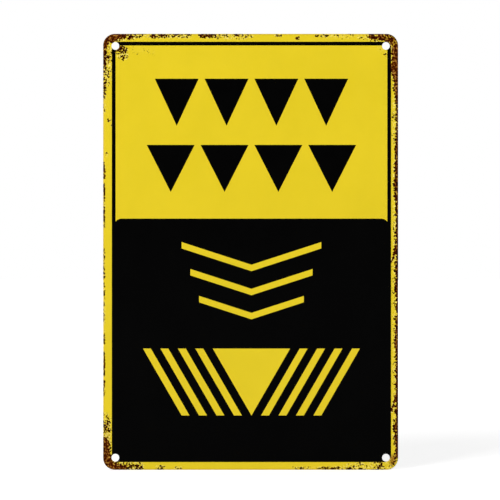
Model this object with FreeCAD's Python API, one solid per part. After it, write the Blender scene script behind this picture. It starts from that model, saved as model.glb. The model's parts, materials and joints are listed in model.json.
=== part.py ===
import FreeCAD, Part
import math
import os

# Printed tin wall sign: one sheet, its edge rolled to the back all round, a screw hole in each corner.
# Millimetres. +Z is up and the printed face looks along -Y, so +X is to the right for a reader.
# The origin is the centre of the four screw holes, on the back of the sheet.

# Driving dimensions
sign_width = 203.0
sign_height = 300.0
corner_radius = 8.0  # of the outline, over the rolled edge
sheet_thickness = 0.25
curl_radius = 1.25  # outside of the rolled edge
curl_turn_deg = 270.0  # from the printed face round to the raw end, which is tucked in
hole_diameter = 5.3  # clears a 5 mm screw or nail
hole_inset = 8.5  # from the outline to a hole's centre, both ways

# Values that follow from them
front_y = -sheet_thickness
curl_inner_radius = curl_radius - sheet_thickness
curl_centre_y = front_y + curl_radius
half_width = sign_width / 2
half_height = sign_height / 2
panel_corner_radius = corner_radius - curl_radius
hole_x = half_width - hole_inset
hole_z = half_height - hole_inset

BACKWARD = FreeCAD.Vector(0, 1, 0)


def corner_centres():
    """Centre of each rounded corner, counter-clockwise for a reader, from the lower right."""
    x = half_width - corner_radius
    z = half_height - corner_radius
    places = [(x, -z), (x, z), (-x, z), (-x, -z)]
    return [FreeCAD.Vector(px, 0, pz) for px, pz in places]


def direction(turn_deg):
    """Unit vector in the sheet's plane: 0 degrees is +X, 90 degrees is +Z."""
    turn = math.radians(turn_deg)
    return FreeCAD.Vector(math.cos(turn), 0, math.sin(turn))


def curl_point(centre, outward, radius, turn_deg):
    """Point of the rolled edge: 0 degrees is at the printed face, 90 degrees at the outermost edge."""
    turn = math.radians(turn_deg)
    return centre + outward * (radius * math.sin(turn)) - BACKWARD * (radius * math.cos(turn))


def curl_section(corner, outward):
    """Section of the rolled edge where a straight side meets a corner: a ring of sheet, left open."""
    centre = corner + outward * panel_corner_radius + BACKWARD * curl_centre_y
    edges = []
    for radius in (curl_radius, curl_inner_radius):
        start = curl_point(centre, outward, radius, 0)
        middle = curl_point(centre, outward, radius, curl_turn_deg / 2)
        end = curl_point(centre, outward, radius, curl_turn_deg)
        edges.append(Part.Arc(start, middle, end).toShape())
    for turn_deg in (0, curl_turn_deg):
        outside = curl_point(centre, outward, curl_radius, turn_deg)
        inside = curl_point(centre, outward, curl_inner_radius, turn_deg)
        edges.append(Part.makeLine(outside, inside))
    return Part.Face(Part.Wire(Part.__sortEdges__(edges)))


def rolled_edge():
    """The rolled edge in eight lengths: a straight side, then the corner that follows it, four times."""
    corners = corner_centres()
    lengths = []
    for number, corner in enumerate(corners):
        before = corners[number - 1]
        outward = direction(90 * (number - 1))
        section = curl_section(before, outward)
        lengths.append(section.extrude(corner - before))
        section = curl_section(corner, outward)
        lengths.append(section.revolve(corner, -BACKWARD, 90))
    return lengths


def flat_panel():
    """The flat of the sheet, out to where the edge starts to roll."""
    corners = corner_centres()
    edges = []
    for number, corner in enumerate(corners):
        before = corners[number - 1]
        turn_deg = 90 * (number - 1)
        side_start = before + direction(turn_deg) * panel_corner_radius
        side_end = corner + direction(turn_deg) * panel_corner_radius
        arc_middle = corner + direction(turn_deg + 45) * panel_corner_radius
        arc_end = corner + direction(turn_deg + 90) * panel_corner_radius
        edges.append(Part.makeLine(side_start, side_end))
        edges.append(Part.Arc(side_end, arc_middle, arc_end).toShape())
    outline = Part.Face(Part.Wire(edges))
    outline.translate(BACKWARD * front_y)
    return outline.extrude(BACKWARD * sheet_thickness)


def screw_holes():
    """Punches for the four screw holes, longer than the sheet is thick on both sides."""
    overrun = sheet_thickness
    punches = []
    for side in (-1, 1):
        for end in (-1, 1):
            start = FreeCAD.Vector(side * hole_x, front_y - overrun, end * hole_z)
            length = sheet_thickness + 2 * overrun
            punches.append(Part.makeCylinder(hole_diameter / 2, length, start, BACKWARD))
    return punches


def sign_plate():
    """The whole sign: flat panel and rolled edge as one sheet, with the holes punched through."""
    sheet = flat_panel().multiFuse(rolled_edge()).removeSplitter()
    sheet = sheet.cut(Part.makeCompound(screw_holes()))
    return sheet.Solids[0]


os.makedirs("parts", exist_ok=True)
sign_plate().exportStep("parts/sign_plate.step")
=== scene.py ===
import json
import math
from collections import namedtuple

import bpy
import numpy as np
from mathutils import Color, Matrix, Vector
from mathutils.geometry import delaunay_2d_cdt

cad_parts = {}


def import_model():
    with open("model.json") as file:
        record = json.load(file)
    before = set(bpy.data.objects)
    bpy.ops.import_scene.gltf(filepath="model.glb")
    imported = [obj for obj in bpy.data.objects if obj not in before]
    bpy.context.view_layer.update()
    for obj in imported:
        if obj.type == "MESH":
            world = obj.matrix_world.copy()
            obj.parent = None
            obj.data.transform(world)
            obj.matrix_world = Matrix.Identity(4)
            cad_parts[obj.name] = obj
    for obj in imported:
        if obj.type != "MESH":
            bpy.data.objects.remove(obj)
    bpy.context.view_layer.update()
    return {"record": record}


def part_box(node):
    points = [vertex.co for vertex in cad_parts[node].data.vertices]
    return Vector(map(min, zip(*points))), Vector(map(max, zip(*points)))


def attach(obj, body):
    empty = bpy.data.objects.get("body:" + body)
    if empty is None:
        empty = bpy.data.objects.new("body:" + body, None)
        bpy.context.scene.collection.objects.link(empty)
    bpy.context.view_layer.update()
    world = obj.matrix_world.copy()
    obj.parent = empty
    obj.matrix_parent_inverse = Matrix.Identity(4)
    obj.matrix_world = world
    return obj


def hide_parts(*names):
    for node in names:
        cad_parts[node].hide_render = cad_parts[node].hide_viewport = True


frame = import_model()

# Printed tin wall sign: one sheet with a rolled edge, yellow and black in front, bare metal behind,
# and rusted round the border.
# Lengths on the sign are in millimetres, and become metres where a mesh or a material is made.
# A place on the sheet is (x, z) from its centre: x to the reader's right, z up.
MM = 0.001

# The sheet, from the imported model
plate_low, plate_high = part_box("sign_plate")
screws = next(mount for mount in frame["record"]["mounts"] if mount["name"] == "wall_screws")["dims"]
HALF_WIDTH = plate_high.x / MM
HALF_HEIGHT = plate_high.z / MM
FRONT_Y = plate_low.y / MM
THICKNESS = -FRONT_Y  # the origin is on the back of the sheet
HOLE_RADIUS = screws["hole_r_mm"]
HOLE_X = screws["spacing_x_mm"] / 2
HOLE_Z = screws["spacing_y_mm"] / 2
HOLES = [(x, z) for x in (-HOLE_X, HOLE_X) for z in (-HOLE_Z, HOLE_Z)]

# Its corners, and its edge, which is rolled to the back
CORNER_RADIUS = 8.0
CORNER_CENTRE = np.array([HALF_WIDTH - CORNER_RADIUS, HALF_HEIGHT - CORNER_RADIUS])
CURL_RADIUS = (plate_high.y - plate_low.y) / MM / 2
CURL_TURN = math.radians(270)

# Print: a black line inside the border, a black field below, and marks above and in the field
PRINT_CENTRE = (0.56, -0.06)
LINE_HALF = (95.98, 144.46)  # from the print's centre to the outside of the line
LINE_WIDTH = 2.6
LINE_CORNER = 5.0
FIELD_TOP = 22.83
FIELD_CORNER = 5.6

# Two rows of triangles above the field, all pointing down
TRIANGLE_ROWS = [(119.0, 133.0), (73.5, 144.0)]  # top, width
TRIANGLE_HEIGHT = 32.4
TRIANGLE_GAP = 4.0
TRIANGLES_IN_ROW = 4

# Chevrons in the field, narrower downwards
CHEVRONS = [(6.7, 96.0), (-11.8, 84.0), (-30.3, 72.0)]  # top, width
CHEVRON_SLOPE = math.tan(math.radians(18))
CHEVRON_DEPTH = 4.4

# Under them, a row of slanted bars on either side of a triangle
BAR_ROW_TOP = -66.5
BAR_ROW_HEIGHT = 46.0
BAR_WIDTH = 5.4
BAR_GAP = 6.6
BARS_EACH_SIDE = 4
BAR_LEAN = math.tan(math.radians(30))

# Fine forms: a slight bow of the flat, a lip at each hole, puckers where the rolled edge turns a corner
BOW_DEPTH = 0.2
BOW_FADE = 30.0  # from the outline to where the bow is full
BOW_MEAN = 0.5
# Share of the bow, turn from the centre to the side edge and to the top edge, turn at the centre
BOW_WAVES = [(0.15, 2.1, 2.6, 0.3), (0.15, 2.1, -2.6, 1.1), (0.2, 1.9, 4.3, 0.0)]
LIP_DEPTH = 0.1
LIP_REACH = 0.5
PUCKERS = 9  # in each corner
PUCKER_DEPTH = 0.07
PUCKER_RISE = (0.02, 0.3)  # product of the outward direction's x and z, from no puckers to full ones

# Fineness of the mesh
BORDER_STEP = 1.1
BORDER_DEPTH = 14.0
INNER_STEP = 4.0
CLEARANCE = 0.4  # share of a step that the filling points keep from every line
LEAST_ARC_STEPS = 4
HOLE_POINTS = 48
HOLE_MARGIN = 1.01  # times a hole's radius, to find the points on it
LIP_RING = 0.4  # from a hole to the ring of points round it
CURL_STEPS = 12
WHOLE_HULL = 0  # the triangulation fills all that the outermost line holds
SAME_POINT = 1e-5
TINY = 1e-6  # keeps a rounding error from adding a point
SHARP_ANGLE = math.radians(40)

# Material slots: yellow, black, bare metal behind each of them, bare metal on the cut edges
BARE = 2
RIM = 4
# The texture map: left, up and scale of each colour's share of it
MAP_YELLOW = (0.0, 0.0, 1.0)
MAP_BLACK = (0.69, 0.0, 0.44)
MAP_BARE = (0.69, 0.5, 0.44)
MAP_PLACES = np.array([MAP_YELLOW, MAP_BLACK, MAP_BARE, MAP_BARE, MAP_BARE])
MAP_MARGIN = 0.004

# Rust along the edges, by the depth of its middle line inside the outline
RUST_DEPTH = {"top": 1.5, "right": 0.2, "bottom": 1.3, "left": 0.8}
# From, to (along the edge, from the sheet's centre), reach to each side, share of the paint lost
RUST_RUNS = {
    "top": [
        (-86, -75, 2.2, 0.62), (-75, -68, 1.3, 0.45), (-68, -54, 1.8, 0.66), (-52, -42, 1.8, 0.70),
        (-34, -24, 1.8, 0.70), (-23, -4, 2.5, 0.44), (-1, 1, 1.5, 0.35), (17, 21, 0.9, 0.42),
        (45, 55, 0.9, 0.42), (51, 60, 2.6, 0.26), (63, 69, 2.6, 0.24), (75, 80, 3.2, 0.26),
    ],
    "right": [
        (130, 104, 2.8, 1.0), (112, 70, 2.0, 0.95), (104, 70, 4.4, 0.32), (70, 36, 2.6, 1.0),
        (60, 38, 3.4, 1.0), (36, -33, 2.2, 0.95), (12, -8, 3.2, 0.80), (36, -102, 4.6, 0.24),
        (-33, -45, 1.3, 0.90), (-45, -140, 2.2, 0.95), (-55, -65, 3.0, 0.90), (-92, -140, 3.2, 0.42),
        (-114, -138, 2.5, 1.0), (-117, -127, 3.8, 0.95),
    ],
    "bottom": [
        (98, 74, 4.6, 0.36), (86, 66, 3.2, 0.46), (68, 50, 1.1, 0.72), (50, 29, 1.1, 0.40),
        (-47, -52, 0.9, 0.48), (-60, -64, 1.8, 0.58), (-76, -92, 2.6, 0.68),
    ],
    "left": [
        (-133, -115, 4.8, 0.50), (-99, -88, 0.8, 0.60), (-85, -69, 0.8, 0.70), (-64, -54, 0.8, 0.58),
        (-50, -35, 0.8, 0.58), (-32, -22, 0.8, 0.62), (-18, 1, 0.8, 0.60), (17, 34, 0.8, 0.64),
        (36, 46, 0.8, 0.74), (51, 61, 0.9, 0.72), (97, 108, 1.8, 0.28), (108, 119, 1.6, 0.78),
        (118, 140, 5.4, 0.39), (124, 140, 1.9, 0.82),
    ],
}

# Patches of rust elsewhere: from x, z, to x, z, reach to each side, share of the paint lost
RUST_SPOTS = [
    (-91.5, 140.0, -87.5, 136.0, 4.4, 0.66), (-88.5, 147.4, -83.0, 147.8, 2.2, 0.62),
    (-79.0, 139.0, -68.0, 137.0, 3.6, 0.14), (-97.4, 90.5, -97.2, 90.0, 0.9, 1.2),
    (-95.6, 87.4, -95.6, 86.9, 0.8, 0.70), (-99.0, 67.5, -98.8, 66.0, 1.1, 0.50),
    (31.5, 146.4, 33.2, 147.3, 0.8, 1.1), (89.0, 140.0, 95.0, 134.0, 3.0, 0.18),
    (99.5, -143.0, 93.0, -148.5, 4.2, 0.32), (84.0, 148.5, 89.0, 148.3, 3.8, 0.86),
    (-88.0, -145.2, -75.0, -146.8, 2.4, 0.30),
]

# Rusted scratches that slant in from the right edge, in the same form
RUST_SCRATCHES = [(100.2, 3.8, 97.1, -6.4, 0.8, 1.3), (100.2, -99.1, 96.7, -109.2, 0.8, 1.3)]

# Thick crusts at the corners, in the same form
RUST_CRUSTS = [
    (-101.0, 141.5, -98.8, 147.0, 3.8, 1.0), (-98.8, 147.0, -88.0, 149.6, 4.2, 1.0),
    (90.0, 148.3, 99.0, 146.2, 3.8, 0.84),
    (99.0, 146.2, 100.4, 138.0, 4.3, 0.90), (101.0, 139.0, 101.0, 123.0, 5.0, 1.10),
    (101.2, 123.0, 101.4, 112.0, 3.7, 1.02),
    (-100.5, -130.0, -99.2, -145.5, 3.8, 1.0), (-99.2, -145.5, -90.0, -149.2, 3.8, 1.0),
    (-97.4, -141.0, -96.6, -146.0, 2.4, 1.02),
]

# Brown stain on the paint that is left, in the same form: patches, and painted shade along three edges
RUST_STAINS_AND_EDGE_SHADE = [
    (98.0, -141.5, 97.4, -144.5, 2.3, 1.15), (96.5, 147.0, 100.0, 142.0, 2.8, 0.70),
    (-100.0, 139.0, -98.8, 131.0, 2.4, 0.45), (-99.5, -118.0, -98.8, -130.0, 2.4, 0.35),
    # These three are painted shade that darkens the rolled edge along the left, top and bottom edges
    (-101.5, -142.0, -101.5, 142.0, 1.2, 0.28), (-93.5, 150.0, 93.5, 150.0, 1.2, 0.20),
    (-93.5, -150.0, 93.5, -150.0, 1.2, 0.16),
]
PATCH_FADE = (0.55, 1.3)  # times a patch's reach, where it starts to fade and is gone

# Colours, as sRGB from 0 to 255
YELLOW = (232, 205, 31)
YELLOW_DULL = (227, 201, 28)
YELLOW_CHIPPED = (252, 232, 116)
# Brown of the stain, and also of the painted shade along three edges
YELLOW_STAINED_AND_SHADED = (160, 112, 2)
BLACK = (1, 1, 1)
BLACK_DULL = (2, 2, 2)
TIN_DARK = (186, 187, 188)
TIN_PALE = (210, 210, 208)
TIN_SPANGLED = (176, 177, 177)
TIN_STAINED = (158, 112, 66)
# From the darkest rust to the palest, each at its place in the range of shades
RUST_SHADES = [
    (0.0, (34, 5, 0)),
    (0.3, (62, 16, 0)),
    (0.55, (90, 36, 4)),
    (0.75, (120, 66, 12)),
    (1.0, (192, 140, 60)),
]

# Grain of each surface: its size, and the detail and roughness of its noise
Grain = namedtuple("Grain", "size detail roughness", defaults=(3.0, 0.55))
RUST_BLOTCHES = Grain(6.0, detail=1.0)
RUST_SPECKS = Grain(1.3, detail=2.5)
RUST_MOTTLE = Grain(1.3, detail=2.0, roughness=0.6)
RUST_CRUMBS = Grain(0.6)
PAINT_DRIFT = Grain(45.0, detail=5.0)
PAINT_CHIPS = Grain(1.1)
STAIN_AND_SHADE_GRAIN = Grain(1.8)
PAINT_SKIN = Grain(9.0)
PAINT_PEEL = Grain(2.2, detail=1.0)
TIN_MILLING = Grain(0.7)
TIN_SPANGLE = Grain(11.0)
MILLING_STRETCH = (1.0, 1.0, 0.02)

# How rust spreads. A pair is the two ends of a range.
WHOLE = (0.0, 1.0)
BLOTCH_SHARE = 0.5  # of the blotches, added to the specks
GRAIN_LEVELS = (0.54, 0.96)
GRAIN_HOLDS = (0.1, 1.0)  # share of the paint lost at which grain of these levels rusts
RUST_BRINK = (-0.05, 0.05)
STAIN_BRINK = (-0.2, 0.05)
STAIN_COVER = (0.02, 0.25)
MOTTLE_LEVELS = (0.38, 0.65)
MOTTLE_SPAN = 0.8
CRUST_PALER = 0.14
RUST_ROUGHNESS = 0.9
NO_SHINE = 0.0
FRONT_SHADE = 0.0  # darkest shade of the rust in front
BACK_SHADE = 0.3
BACK_RUST = 0.7  # share of the rust that shows on bare metal
BUMP_DEPTH = 0.12
BUMP_STRENGTH = 0.6

# How paint and bare metal wear, in the same form
DRIFT_LEVELS = (0.3, 0.7)
CHIP_LEVELS = (0.48, 0.62)
CHIP_COVER = (0.08, 0.36)
# Patches of stain and of the painted edge shade
STAIN_AND_SHADE_LEVELS = (0.35, 0.6)
STAIN_AND_SHADE_SHARE = (0.5, 1.0)
STAIN_SHARE = 0.4
SKIN_LEVELS = (0.3, 0.7)
SKIN_ROUGHNESS = (0.29, 0.37)
PEEL_HEIGHT = 0.06
SPANGLE_LEVELS = (0.35, 0.7)
SPANGLE_SHARE = (0.0, 0.25)
TIN_STAIN_SHARE = 0.8
TIN_METALLIC = (1.0, 0.0)  # where it is bare, and where it is rusted
MILLING_LEVELS = (0.3, 0.7)
MILLING_ROUGHNESS = (0.34, 0.46)
MILLING_HEIGHT = 0.08
# Each paint's shine, and how much of the rust shows in it
YELLOW_SHINE = 0.2
YELLOW_RUST = 1.0
BLACK_SHINE = 0.02
BLACK_RUST = 0.5

# Stage and light, in metres and watts
WHITE = (1.0, 1.0, 1.0, 1.0)
FLOOR_SIZE = 12.0
FLOOR_GREY = 0.9
FLOOR_ROUGHNESS = 0.9
FLOOR_SPAN = (0.25, 1.0)  # distance from the sign's centre
FLOOR_LIFT = (0.55, 1.0)  # strength with which the floor is lifted to white at these distances
BACKDROP = 1.0
ROOM_MIRRORED = 0.2
ROOM_LIGHT = 0.33
UNLIT = 0.0
SEEN = ("Is Camera Ray", "Is Transmission Ray")
SEEN_OR_MIRRORED = (*SEEN, "Is Glossy Ray")
LAMP_SIZE = 1.4
LAMPS = {"key": ((-2.2, -1.9, 1.1), 60.0), "fill": ((2.2, -1.9, 0.8), 24.5)}  # place, power

# Camera, from the sign's height and centre in the photograph
PHOTO_PX = 500
SIGN_HEIGHT_PX = 435.9
SIGN_CENTRE_PX = (250.64, 251.8)
LENS_MM = 100.0
SENSOR_MM = 36.0


def divided(corners, step):
    """The closed outline through some corners, with points added so that none are over a step apart."""
    points = []
    for (x0, z0), (x1, z1) in zip(corners, corners[1:] + corners[:1]):
        count = max(1, math.ceil(math.dist((x0, z0), (x1, z1)) / step - TINY))
        for number in range(count):
            share = number / count
            points.append((x0 + (x1 - x0) * share, z0 + (z1 - z0) * share))
    return points


def rounded_rectangle(low, high, radius):
    """Outline of a rectangle with round corners, counter-clockwise for a reader from the lower right."""
    left, right = low[0] + radius, high[0] - radius
    bottom, top = low[1] + radius, high[1] - radius
    quarter = math.pi / 2
    count = max(LEAST_ARC_STEPS, math.ceil(radius * quarter / BORDER_STEP))
    points = []
    for corner, (x, z) in enumerate([(right, bottom), (right, top), (left, top), (left, bottom)]):
        for number in range(count + 1):
            turn = quarter * (corner - 1 + number / count)
            points.append((x + radius * math.cos(turn), z + radius * math.sin(turn)))
    return divided(points, BORDER_STEP)


def inset_outline(depth):
    """The sign's outline, drawn in by a depth."""
    x, z = HALF_WIDTH - depth, HALF_HEIGHT - depth
    return rounded_rectangle((-x, -z), (x, z), CORNER_RADIUS - depth)


def circle(x, z, radius):
    """A ring of points round a hole's centre."""
    turns = [2 * math.pi * number / HOLE_POINTS for number in range(HOLE_POINTS)]
    return [(x + radius * math.cos(turn), z + radius * math.sin(turn)) for turn in turns]


def triangle_row(top, row_width):
    """Solid triangles side by side, each with its point at the bottom."""
    width = (row_width - TRIANGLE_GAP * (TRIANGLES_IN_ROW - 1)) / TRIANGLES_IN_ROW
    shapes = []
    for number in range(TRIANGLES_IN_ROW):
        left = PRINT_CENTRE[0] - row_width / 2 + number * (width + TRIANGLE_GAP)
        shapes.append([(left + width / 2, top - TRIANGLE_HEIGHT), (left + width, top), (left, top)])
    return shapes


def chevron(top, width):
    """A wide arrow head that points down."""
    middle, half = PRINT_CENTRE[0], width / 2
    drop = half * CHEVRON_SLOPE
    upper = [(middle + half, top), (middle, top - drop), (middle - half, top)]
    lower = [(x, z - CHEVRON_DEPTH) for x, z in reversed(upper)]
    return (upper + lower)[::-1]


def bar_row():
    """A triangle with slanted bars on either side of it, all with their feet towards the middle."""
    middle = PRINT_CENTRE[0]
    top, bottom = BAR_ROW_TOP, BAR_ROW_TOP - BAR_ROW_HEIGHT
    shift = BAR_ROW_HEIGHT * BAR_LEAN
    shapes = [[(middle, bottom), (middle + shift, top), (middle - shift, top)]]
    for number in range(BARS_EACH_SIDE):
        near = BAR_GAP + number * (BAR_WIDTH + BAR_GAP)
        far = near + BAR_WIDTH
        for side in (-1, 1):
            foot = [(middle + side * near, bottom), (middle + side * far, bottom)]
            head = [(middle + side * (far + shift), top), (middle + side * (near + shift), top)]
            shapes.append((foot + head)[::side])
    return shapes


def print_box(half_x, half_z, corner):
    """A rounded rectangle round the centre of the print."""
    x, z = PRINT_CENTRE
    return rounded_rectangle((x - half_x, z - half_z), (x + half_x, z + half_z), corner)


def print_shapes():
    """Every printed outline in painting order, with True for black and False for yellow."""
    x, z = PRINT_CENTRE
    half_x, half_z = LINE_HALF
    line = print_box(half_x, half_z, LINE_CORNER)
    inside_line = print_box(half_x - LINE_WIDTH, half_z - LINE_WIDTH, LINE_CORNER - LINE_WIDTH)
    field_x, field_z = half_x - LINE_WIDTH / 2, half_z - LINE_WIDTH / 2
    field = rounded_rectangle((x - field_x, z - field_z), (x + field_x, FIELD_TOP), FIELD_CORNER)
    triangles = [shape for top, width in TRIANGLE_ROWS for shape in triangle_row(top, width)]
    marks = [chevron(top, width) for top, width in CHEVRONS] + bar_row()
    shapes = [(line, True), (inside_line, False), (field, True)]
    shapes += [(divided(shape, INNER_STEP), True) for shape in triangles]
    shapes += [(divided(shape, INNER_STEP), False) for shape in marks]
    return shapes


def inside(points, outline):
    """Which of the points lie inside a closed outline."""
    x, z = points.T
    found = np.zeros(len(points), bool)
    for (x0, z0), (x1, z1) in zip(outline, outline[1:] + outline[:1]):
        if z0 != z1:
            crosses = (z0 > z) != (z1 > z)
            found ^= crosses & (x < (x1 - x0) * (z - z0) / (z1 - z0) + x0)
    return found


def distance_to_run(points, start, end):
    """Distance of each point from a straight run."""
    start, end = np.array(start), np.array(end)
    along = end - start
    share = ((points - start) @ along) / (along @ along)
    foot = start + np.clip(share, 0, 1)[:, None] * along
    return np.linalg.norm(points - foot, axis=1)


def distance_to_outline(points, outline):
    """Distance of each point from a closed outline."""
    nearest = np.full(len(points), np.inf)
    for start, end in zip(outline, outline[1:] + outline[:1]):
        nearest = np.minimum(nearest, distance_to_run(points, start, end))
    return nearest


def edge_distance(points):
    """How far inside the sign's outline each point lies."""
    past = np.abs(points) - CORNER_CENTRE
    outside = np.linalg.norm(np.maximum(past, 0), axis=1)
    return CORNER_RADIUS - outside - np.minimum(past.max(axis=1), 0)


def outward(points):
    """Direction from the sheet's inside to its nearest edge, for points in the border."""
    away = points - np.clip(points, -CORNER_CENTRE, CORNER_CENTRE)
    return away / np.linalg.norm(away, axis=1)[:, None]


def smooth_step(low, high, values):
    """From 0 at the low value to 1 at the high one, with soft ends."""
    share = np.clip((values - low) / (high - low), 0, 1)
    return share * share * (3 - 2 * share)


def filling_points(lines):
    """Points that fill the sheet: close together in the border, further apart inside it."""
    zones = [(BORDER_STEP, CURL_RADIUS, BORDER_DEPTH), (INNER_STEP, BORDER_DEPTH, np.inf)]
    places = []
    for step, least, most in zones:
        xs = np.arange(-HALF_WIDTH + step / 2, HALF_WIDTH, step)
        zs = np.arange(-HALF_HEIGHT + step / 2, HALF_HEIGHT, step)
        grid = np.stack(np.meshgrid(xs, zs), axis=-1).reshape(-1, 2)
        depth = edge_distance(grid)
        grid = grid[(depth > least + CLEARANCE * step) & (depth <= most)]
        clear = np.full(len(grid), np.inf)
        for line in lines:
            clear = np.minimum(clear, distance_to_outline(grid, line))
        places.append(grid[clear > CLEARANCE * step])
    return np.concatenate(places)


def triangulated(lines):
    """Triangles that follow every line: their places, their corners, and where each given point went."""
    places, edges = [], []
    for line in lines:
        numbers = list(range(len(places), len(places) + len(line)))
        edges += zip(numbers, numbers[1:] + numbers[:1])
        places += line
    places += [tuple(place) for place in filling_points(lines).tolist()]
    flat, _, faces, sources, _, _ = delaunay_2d_cdt(places, edges, [], WHOLE_HULL, SAME_POINT)
    went_to = {source: number for number, found in enumerate(sources) for source in found}
    return np.array([tuple(place) for place in flat]), np.array(faces), went_to


def flat_panel():
    """The flat of the sheet: its places, its triangles, which are black, and its outermost places."""
    shapes = print_shapes()
    border = inset_outline(CURL_RADIUS)
    beside_border = inset_outline(CURL_RADIUS + BORDER_STEP / 2)
    holes = [circle(x, z, HOLE_RADIUS) for x, z in HOLES]
    lips = [circle(x, z, HOLE_RADIUS + LIP_RING) for x, z in HOLES]
    scratches = [divided([(x0, z0), (x1, z1)], BORDER_STEP) for x0, z0, x1, z1, _, _ in RUST_SCRATCHES]
    lines = [border, beside_border] + [shape for shape, _ in shapes] + holes + lips + scratches
    flat, faces, went_to = triangulated(lines)
    middles = flat[faces].mean(axis=1)
    in_hole = np.any([inside(middles, hole) for hole in holes], axis=0)
    faces, middles = faces[~in_hole], middles[~in_hole]
    black = np.zeros(len(faces), int)
    for outline, is_black in shapes:
        black[inside(middles, outline)] = is_black
    rim = np.array([went_to[number] for number in range(len(border))])
    return flat, faces, black, rim


def sheet_depth(places):
    """How far the flat lies behind its true plane: a slight bow, and a lip at each hole."""
    across, up = (places / (HALF_WIDTH, HALF_HEIGHT)).T
    bow = BOW_MEAN
    for share, turn_x, turn_z, start in BOW_WAVES:
        bow = bow + share * np.sin(turn_x * across + turn_z * up + start)
    depth = BOW_DEPTH * bow * smooth_step(CURL_RADIUS, BOW_FADE, edge_distance(places))
    for hole in HOLES:
        past = np.linalg.norm(places - hole, axis=1) - HOLE_RADIUS
        depth = depth + LIP_DEPTH * np.exp(-np.maximum(past, 0) / LIP_REACH)
    return depth


def corner_puckers(away):
    """How far the rolled edge is drawn in where it turns a corner."""
    across, up = np.abs(away).T
    share_of_corner = np.arctan2(up, across) / (math.pi / 2)
    wave = np.sin(2 * math.pi * PUCKERS * share_of_corner)
    return PUCKER_DEPTH * smooth_step(*PUCKER_RISE, across * up) * (1 + wave) / 2


def rolled_edge(edge, away):
    """Rings of points round the rolled edge: in space, as seen from the front, and unrolled."""
    puckers = corner_puckers(away)
    points, seen, unrolled = [], [], []
    for number in range(1, CURL_STEPS + 1):
        turn = CURL_TURN * number / CURL_STEPS
        radius = CURL_RADIUS - puckers * smooth_step(math.pi / 2, math.pi, turn)
        place = edge + away * (radius * math.sin(turn))[:, None]
        y = FRONT_Y + CURL_RADIUS - radius * math.cos(turn)
        points.append(np.stack([place[:, 0], y, place[:, 1]], axis=1))
        seen.append(edge + away * (CURL_RADIUS * math.sin(min(turn, math.pi / 2))))
        unrolled.append(edge + away * (CURL_RADIUS * turn))
    return np.concatenate(points), np.concatenate(seen), np.concatenate(unrolled)


def ring_faces(rings):
    """Faces between each ring of points and the next."""
    faces = []
    for near, far in zip(rings, rings[1:]):
        faces.append(np.stack([near, far, np.roll(far, -1), np.roll(near, -1)], axis=1))
    return np.concatenate(faces)


def edge_rust():
    """The rust along the edges, as patches."""
    patches = []
    for edge, runs in RUST_RUNS.items():
        side = -1 if edge in ("left", "bottom") else 1
        x = side * (HALF_WIDTH - RUST_DEPTH[edge])
        z = side * (HALF_HEIGHT - RUST_DEPTH[edge])
        for start, end, reach, share in runs:
            ends = (x, start, x, end) if edge in ("left", "right") else (start, z, end, z)
            patches.append((*ends, reach, share))
    return patches


def patch_share(places, patches):
    """The share of the paint that some patches take at each place."""
    most = np.zeros(len(places))
    for x0, z0, x1, z1, reach, share in patches:
        fade_start, fade_end = [factor * reach for factor in PATCH_FADE]
        distance = distance_to_run(places, (x0, z0), (x1, z1))
        most = np.maximum(most, share * (1 - smooth_step(fade_start, fade_end, distance)))
    return most


def add_rust(mesh, seen):
    """Gives each point its shares of rust, stain and painted edge shade, by where it is seen from the
    front.
    """
    crust = patch_share(seen, RUST_CRUSTS)
    edges = np.maximum(crust, patch_share(seen, edge_rust()))
    shares = {
        "rust_cover": np.maximum(edges, patch_share(seen, RUST_SPOTS + RUST_SCRATCHES)),
        "rust_crust": crust,
        "rust_stain_and_edge_shade": patch_share(seen, RUST_STAINS_AND_EDGE_SHADE),
        "rust_back": edges,
    }
    for name, values in shares.items():
        mesh.attributes.new(name, "FLOAT", "POINT").data.foreach_set("value", values)


def add_map_places(mesh, unrolled, away):
    """Gives each point its place on the unrolled sheet, and on a cut edge the place across the cut."""
    across = unrolled.copy()
    across[-len(away):] += away * THICKNESS
    for hole in HOLES:
        inwards = hole - unrolled
        distance = np.linalg.norm(inwards, axis=1)
        cut = distance < HOLE_RADIUS * HOLE_MARGIN
        across[cut] += inwards[cut] / distance[cut, None] * THICKNESS
    for name, places in (("sheet_place", unrolled), ("cut_place", across)):
        mesh.attributes.new(name, "FLOAT2", "POINT").data.foreach_set("vector", places.ravel())


def printed_sheet():
    """The sign's outer surface: the flat, divided along every print edge, and the rolled edge."""
    flat, faces, black, rim = flat_panel()
    away = outward(flat[rim])
    curl, curl_seen, curl_unrolled = rolled_edge(flat[rim], away)
    curl_rings = len(flat) + np.arange(len(curl)).reshape(CURL_STEPS, -1)
    curl_faces = ring_faces([rim, *curl_rings])
    front = np.stack([flat[:, 0], FRONT_Y + sheet_depth(flat), flat[:, 1]], axis=1)
    points = np.concatenate([front, curl])
    mesh = bpy.data.meshes.new("sign_face")
    mesh.from_pydata((points * MM).tolist(), [], faces.tolist() + curl_faces.tolist())
    slots = np.concatenate([black, np.zeros(len(curl_faces), int)])
    mesh.polygons.foreach_set("material_index", slots)
    add_rust(mesh, np.concatenate([flat, curl_seen]))
    add_map_places(mesh, np.concatenate([flat, curl_unrolled]), away)
    mesh.validate()
    return mesh


def taken_places(mesh, name):
    """The places that an attribute holds. The attribute is removed."""
    places = np.empty(2 * len(mesh.vertices), np.float32)
    mesh.attributes[name].data.foreach_get("vector", places)
    mesh.attributes.remove(mesh.attributes[name])
    return places.reshape(-1, 2).astype(float)


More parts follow.
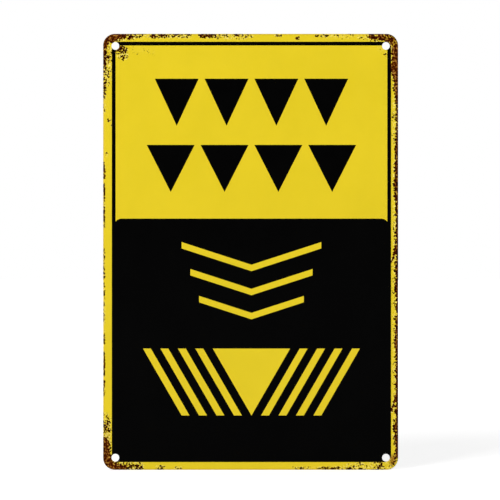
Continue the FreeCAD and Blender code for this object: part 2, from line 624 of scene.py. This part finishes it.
def lay_out(mesh, outer_count):
    """Texture map: the sheet unrolled, with yellow, black and bare metal each in a place of its own."""
    on_sheet = taken_places(mesh, "sheet_place")
    across_cut = taken_places(mesh, "cut_place")
    corners = np.empty(len(mesh.loops), np.int32)
    mesh.loops.foreach_get("vertex_index", corners)
    sides, slots = np.empty((2, len(mesh.polygons)), np.int32)
    mesh.polygons.foreach_get("loop_total", sides)
    mesh.polygons.foreach_get("material_index", slots)
    slots = np.repeat(slots, sides)
    far_side_of_cut = (slots == RIM) & (corners >= outer_count)
    place = np.where(far_side_of_cut[:, None], across_cut[corners], on_sheet[corners])
    low, high = across_cut.min(axis=0), across_cut.max(axis=0)
    height = (high - low)[1]
    left, up, scale = MAP_PLACES[slots].T
    unit = (place - low) / height * (1 - 2 * MAP_MARGIN) * scale[:, None]
    layer = mesh.uv_layers.new(name="OFBake")
    layer.data.foreach_set("uv", (unit + np.stack([left, up], axis=1) + MAP_MARGIN).ravel())


def linear(colour):
    """Linear colour with full alpha, from sRGB."""
    return (*Color([part / 255 for part in colour]).from_srgb_to_scene_linear(), 1.0)


class Nodes:
    """The nodes of a material or a world."""

    def __init__(self, owner):
        owner.use_nodes = True
        self.tree = owner.node_tree

    def node(self, kind, **settings):
        """A new node with some settings."""
        made = self.tree.nodes.new(kind)
        for name, value in settings.items():
            setattr(made, name, value)
        return made

    def feed(self, socket, value):
        """Gives an input a plain value or another node's output."""
        if isinstance(value, bpy.types.NodeSocket):
            self.tree.links.new(value, socket)
        else:
            socket.default_value = value

    def math(self, operation, *values):
        """The result of a calculation."""
        made = self.node("ShaderNodeMath", operation=operation)
        for socket, value in zip(made.inputs, values):
            self.feed(socket, value)
        return made.outputs[0]

    def ranged(self, value, span, to=WHOLE, kind="SMOOTHSTEP"):
        """A value brought from one range to another, and held at its ends."""
        made = self.node("ShaderNodeMapRange", interpolation_type=kind)
        names = ("Value", "From Min", "From Max", "To Min", "To Max")
        for name, given in zip(names, (value, *span, *to)):
            self.feed(made.inputs[name], given)
        return made.outputs["Result"]

    def between(self, share, first, second):
        """A number that goes evenly from the first value to the second."""
        return self.ranged(share, WHOLE, (first, second), "LINEAR")

    def any_ray(self, kinds):
        """One where a ray is of any of these kinds, else zero."""
        rays = self.node("ShaderNodeLightPath")
        found = rays.outputs[kinds[0]]
        for kind in kinds[1:]:
            found = self.math("MAXIMUM", found, rays.outputs[kind])
        return found


class Surface(Nodes):
    """A material with one principled shader."""

    def __init__(self, name):
        self.material = bpy.data.materials.new(name)
        super().__init__(self.material)
        self.shader = self.tree.nodes["Principled BSDF"]
        self.place = self.node("ShaderNodeTexCoord").outputs["Object"]

    def set(self, name, value):
        """Gives the shader a plain value or another node's output."""
        self.feed(self.shader.inputs[name], value)

    def attribute(self, name):
        """A value that the mesh holds at each point."""
        return self.node("ShaderNodeAttribute", attribute_name=name).outputs["Fac"]

    def noise(self, grain, stretch=None):
        """Noise with grains of about the given size."""
        place = self.place
        if stretch:
            mapping = self.node("ShaderNodeMapping")
            self.feed(mapping.inputs["Vector"], place)
            self.feed(mapping.inputs["Scale"], stretch)
            place = mapping.outputs["Vector"]
        made = self.node("ShaderNodeTexNoise")
        self.feed(made.inputs["Vector"], place)
        self.feed(made.inputs["Scale"], 1 / (grain.size * MM))
        self.feed(made.inputs["Detail"], grain.detail)
        self.feed(made.inputs["Roughness"], grain.roughness)
        return made.outputs["Fac"]

    def mixed(self, share, first, second):
        """A colour between two others."""
        made = self.node("ShaderNodeMix", data_type="RGBA")
        first_input, second_input = [socket for socket in made.inputs if socket.type == "RGBA"]
        self.feed(made.inputs[0], share)
        self.feed(first_input, first)
        self.feed(second_input, second)
        return next(socket for socket in made.outputs if socket.type == "RGBA")

    def ramp(self, value, shades):
        """The colour of a value in a row of shades."""
        made = self.node("ShaderNodeValToRGB")
        elements = made.color_ramp.elements
        while len(elements) < len(shades):
            elements.new(1.0)
        for element, (position, colour) in zip(elements, shades):
            element.position = position
            element.color = linear(colour)
        self.feed(made.inputs["Fac"], value)
        return made.outputs["Color"]

    def bump(self, height):
        """Fine relief, from a height."""
        made = self.node("ShaderNodeBump")
        self.feed(made.inputs["Distance"], BUMP_DEPTH * MM)
        self.feed(made.inputs["Strength"], BUMP_STRENGTH)
        self.feed(made.inputs["Height"], height)
        return made.outputs["Normal"]


def rust(surface, where, share, darkest):
    """Masks for rust and for the stain round it, the share of paint lost, and the rust's colour."""
    cover = surface.math("MULTIPLY", surface.attribute(where), share)
    blotches = surface.noise(RUST_BLOTCHES)
    grain = surface.math("MULTIPLY_ADD", blotches, BLOTCH_SHARE, surface.noise(RUST_SPECKS))
    excess = surface.math("SUBTRACT", cover, surface.ranged(grain, GRAIN_LEVELS, GRAIN_HOLDS))
    rusted = surface.ranged(excess, RUST_BRINK)
    near_rust = surface.ranged(excess, STAIN_BRINK)
    stained = surface.math("MULTIPLY", near_rust, surface.ranged(cover, STAIN_COVER))
    shades = (darkest, darkest + MOTTLE_SPAN)
    mottle = surface.ranged(surface.noise(RUST_MOTTLE), MOTTLE_LEVELS, shades)
    shade = surface.math("MULTIPLY_ADD", surface.attribute("rust_crust"), CRUST_PALER, mottle)
    return rusted, stained, cover, surface.ramp(shade, RUST_SHADES)


def worn_yellow(surface, paint, stained, cover):
    """Yellow paint with pale chips where rust begins, brown stain round the rust, and painted shade
    along three edges in the same brown.
    """
    chips = surface.ranged(surface.noise(PAINT_CHIPS), CHIP_LEVELS)
    chipped = surface.math("MULTIPLY", chips, surface.ranged(cover, CHIP_COVER))
    paint = surface.mixed(chipped, paint, linear(YELLOW_CHIPPED))
    patches = surface.ranged(surface.noise(STAIN_AND_SHADE_GRAIN), STAIN_AND_SHADE_LEVELS, STAIN_AND_SHADE_SHARE)
    # The stain attribute also holds painted shade along the left, top and bottom edges
    soak_and_edge_shade = surface.math("MULTIPLY", surface.attribute("rust_stain_and_edge_shade"), patches)
    brown_share = surface.math("MULTIPLY_ADD", stained, STAIN_SHARE, soak_and_edge_shade)
    return surface.mixed(brown_share, paint, linear(YELLOW_STAINED_AND_SHADED))


def enamel(name, colour, dull_colour, shine, rust_share, wear=None):
    """Printed enamel with a satin skin, rusted where the sheet has lost its paint."""
    surface = Surface(name)
    rusted, stained, cover, rust_colour = rust(surface, "rust_cover", rust_share, FRONT_SHADE)
    drift = surface.ranged(surface.noise(PAINT_DRIFT), DRIFT_LEVELS)
    paint = surface.mixed(drift, linear(colour), linear(dull_colour))
    if wear:
        paint = wear(surface, paint, stained, cover)
    surface.set("Base Color", surface.mixed(rusted, paint, rust_colour))
    skin = surface.ranged(surface.noise(PAINT_SKIN), SKIN_LEVELS, SKIN_ROUGHNESS)
    surface.set("Roughness", surface.between(rusted, skin, RUST_ROUGHNESS))
    surface.set("Specular IOR Level", surface.between(rusted, shine, NO_SHINE))
    crumbs = surface.math("MULTIPLY", rusted, surface.noise(RUST_CRUMBS))
    height = surface.math("MULTIPLY_ADD", surface.noise(PAINT_PEEL), PEEL_HEIGHT, crumbs)
    surface.set("Normal", surface.bump(height))
    return surface.material


def tinplate():
    """Bare tinned steel with the grain of the rolling mill, and rust creeping round the rolled edge."""
    surface = Surface("tinplate")
    rusted, stained, _, rust_colour = rust(surface, "rust_back", BACK_RUST, BACK_SHADE)
    milling = surface.noise(TIN_MILLING, MILLING_STRETCH)
    metal = surface.mixed(milling, linear(TIN_DARK), linear(TIN_PALE))
    spangle = surface.ranged(surface.noise(TIN_SPANGLE), SPANGLE_LEVELS, SPANGLE_SHARE)
    metal = surface.mixed(spangle, metal, linear(TIN_SPANGLED))
    brown_share = surface.math("MULTIPLY", stained, TIN_STAIN_SHARE)
    metal = surface.mixed(brown_share, metal, linear(TIN_STAINED))
    surface.set("Base Color", surface.mixed(rusted, metal, rust_colour))
    surface.set("Metallic", surface.ranged(rusted, WHOLE, TIN_METALLIC))
    dullness = surface.ranged(milling, MILLING_LEVELS, MILLING_ROUGHNESS)
    surface.set("Roughness", surface.between(rusted, dullness, RUST_ROUGHNESS))
    crumbs = surface.math("MULTIPLY", rusted, surface.noise(RUST_CRUMBS))
    surface.set("Normal", surface.bump(surface.math("MULTIPLY_ADD", milling, MILLING_HEIGHT, crumbs)))
    return surface.material


def add_object(name, data):
    """A new object in the scene."""
    made = bpy.data.objects.new(name, data)
    bpy.context.scene.collection.objects.link(made)
    return made


def thickened(made):
    """The object's mesh as a sheet of the true thickness, bare behind and on the cut edges."""
    sheet = made.modifiers.new("sheet", "SOLIDIFY")
    sheet.thickness = THICKNESS * MM
    sheet.offset = -1  # the outer surface stays where it is
    sheet.use_even_offset = True
    sheet.material_offset = BARE
    sheet.material_offset_rim = RIM
    depsgraph = bpy.context.evaluated_depsgraph_get()
    whole = bpy.data.meshes.new_from_object(made.evaluated_get(depsgraph), depsgraph=depsgraph)
    made.modifiers.clear()
    return whole


def sign():
    """The whole sign: its outer surface given the sheet's thickness, in place of the plain plate."""
    outer = printed_sheet()
    yellow = enamel("yellow_enamel", YELLOW, YELLOW_DULL, YELLOW_SHINE, YELLOW_RUST, worn_yellow)
    black = enamel("black_enamel", BLACK, BLACK_DULL, BLACK_SHINE, BLACK_RUST)
    tin = tinplate()
    for material in (yellow, black, tin, tin, tin):
        outer.materials.append(material)
    made = add_object("tin_sign", outer)
    whole = thickened(made)
    lay_out(whole, len(outer.vertices))
    whole.name = "tin_sign"
    whole.shade_smooth()
    whole.set_sharp_from_angle(angle=SHARP_ANGLE)
    made.data = whole
    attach(made, "root")
    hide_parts("sign_plate")


def floor():
    """A pale floor under the sign's lower edge, lifted to white where it is seen or mirrored."""
    surface = Surface("floor")
    surface.set("Base Color", (FLOOR_GREY, FLOOR_GREY, FLOOR_GREY, 1.0))
    surface.set("Roughness", FLOOR_ROUGHNESS)
    surface.set("Specular IOR Level", NO_SHINE)
    surface.set("Emission Color", WHITE)
    distance = surface.node("ShaderNodeVectorMath", operation="LENGTH")
    surface.feed(distance.inputs[0], surface.place)
    lift = surface.ranged(distance.outputs["Value"], FLOOR_SPAN, FLOOR_LIFT, "LINEAR")
    seen = surface.any_ray(SEEN_OR_MIRRORED)
    surface.set("Emission Strength", surface.between(seen, UNLIT, lift))
    mesh = bpy.data.meshes.new("floor")
    half, z = FLOOR_SIZE / 2, plate_low.z
    corners = [(-half, -half, z), (half, -half, z), (half, half, z), (-half, half, z)]
    mesh.from_pydata(corners, [], [(0, 1, 2, 3)])
    mesh.materials.append(surface.material)
    made = add_object("floor", mesh)


def world():
    """A white backdrop, a dimmer room on the reader's side where it is mirrored, and soft light."""
    made = bpy.data.worlds.new("studio")
    nodes = Nodes(made)
    background = nodes.tree.nodes["Background"]
    background.inputs["Color"].default_value = WHITE
    side = nodes.node("ShaderNodeSeparateXYZ")
    nodes.feed(side.inputs[0], nodes.node("ShaderNodeTexCoord").outputs["Generated"])
    mirrored = nodes.between(side.outputs["Y"], ROOM_MIRRORED, BACKDROP)
    shown = nodes.between(nodes.any_ray(SEEN), mirrored, BACKDROP)
    strength = nodes.between(nodes.any_ray(SEEN_OR_MIRRORED), ROOM_LIGHT, shown)
    nodes.feed(background.inputs["Strength"], strength)
    bpy.context.scene.world = made


def lamp(name, place, power):
    """A soft square lamp that faces the sign."""
    light = bpy.data.lights.new(name, "AREA")
    light.size = LAMP_SIZE
    light.energy = power
    made = add_object(name, light)
    made.location = place
    aim = -made.location
    made.rotation_euler = aim.to_track_quat("-Z", "Y").to_euler()


def camera():
    """Square on to the sign, with the sign where the photograph has it."""
    metres_per_px = (plate_high.z - plate_low.z) / SIGN_HEIGHT_PX
    view_size = PHOTO_PX * metres_per_px
    right = (PHOTO_PX / 2 - SIGN_CENTRE_PX[0]) * metres_per_px
    up = (SIGN_CENTRE_PX[1] - PHOTO_PX / 2) * metres_per_px
    outermost_y = plate_low.y + CURL_RADIUS * MM
    data = bpy.data.cameras.new("camera")
    data.lens = LENS_MM
    data.sensor_width = SENSOR_MM
    made = add_object("camera", data)
    made.location = (right, outermost_y - view_size * LENS_MM / SENSOR_MM, up)
    made.rotation_euler = (math.pi / 2, 0, 0)
    bpy.context.scene.camera = made


sign()
floor()
world()
for name, (place, power) in LAMPS.items():
    lamp(name, place, power)
camera()
bpy.context.scene.view_settings.view_transform = "Standard"
